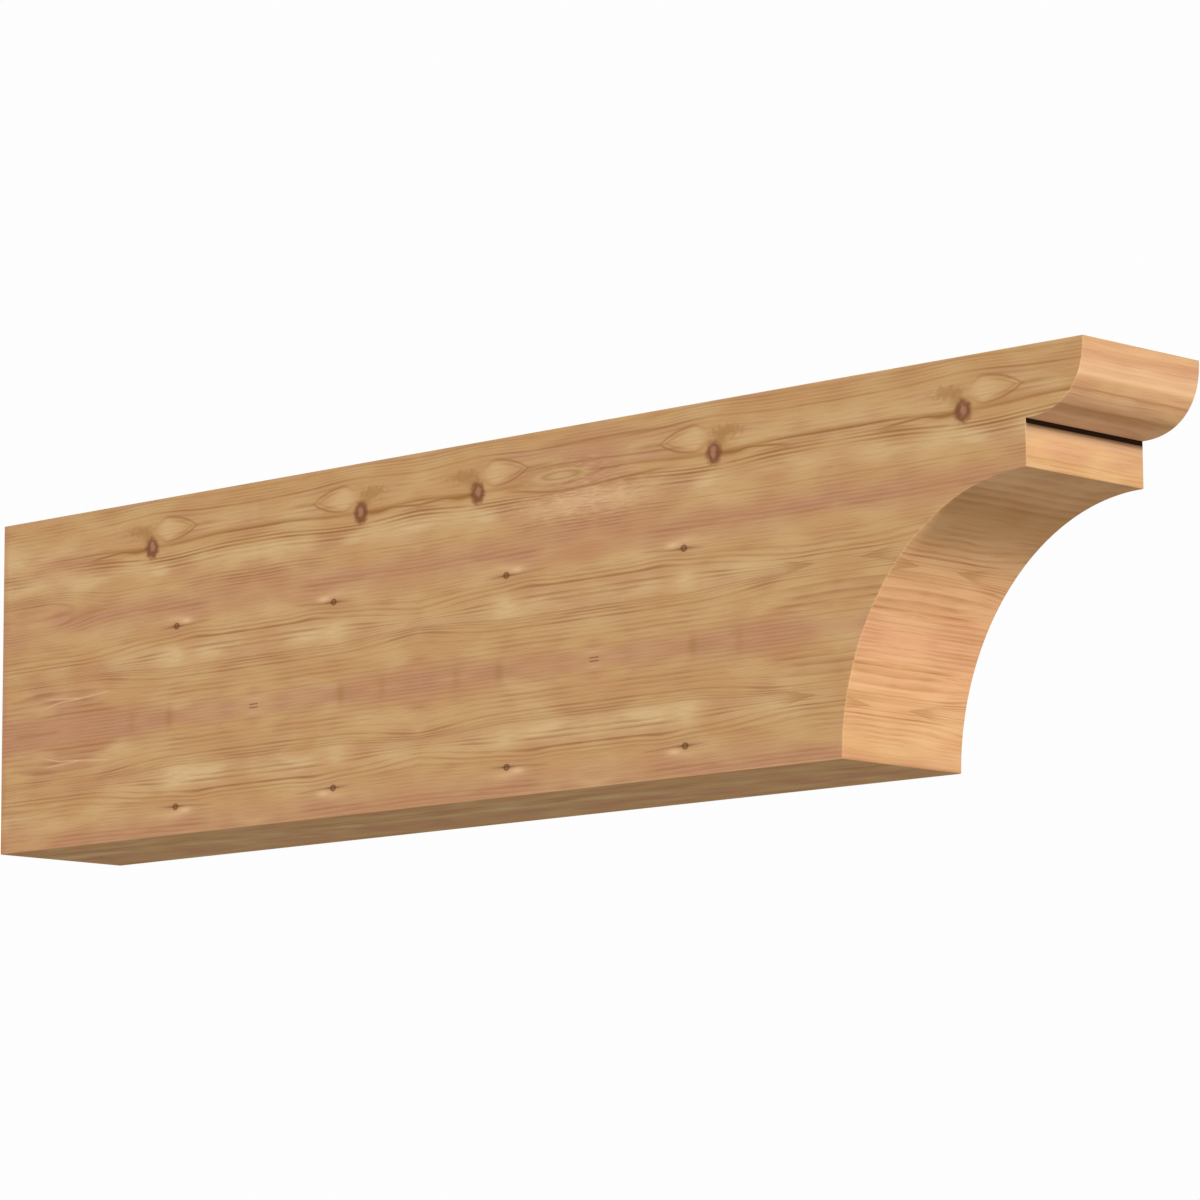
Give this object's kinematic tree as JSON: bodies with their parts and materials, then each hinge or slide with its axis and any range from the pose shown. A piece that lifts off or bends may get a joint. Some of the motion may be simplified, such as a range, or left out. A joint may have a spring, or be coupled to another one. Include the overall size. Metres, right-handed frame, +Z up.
{
  "type": "carved rafter tail",
  "caption": "Planed cedar timber, square at the butt, with its lower front corner cut away to an ovolo, a fillet and a deep cove.",
  "frame": {"origin": "on the underside's plane, below the middle of the length and of the thickness", "axes": "+X along the timber to the carved tip, Y across the thickness, +Z up to the top face that carries the roof"},
  "size_m": [1.2192, 0.1396, 0.2921],
  "materials": {
    "cedar": "planed smooth, unfinished western red cedar with small knots"
  },
  "bodies": {
    "root": {"rafter_tail": "cedar"}
  },
  "joints": []
}
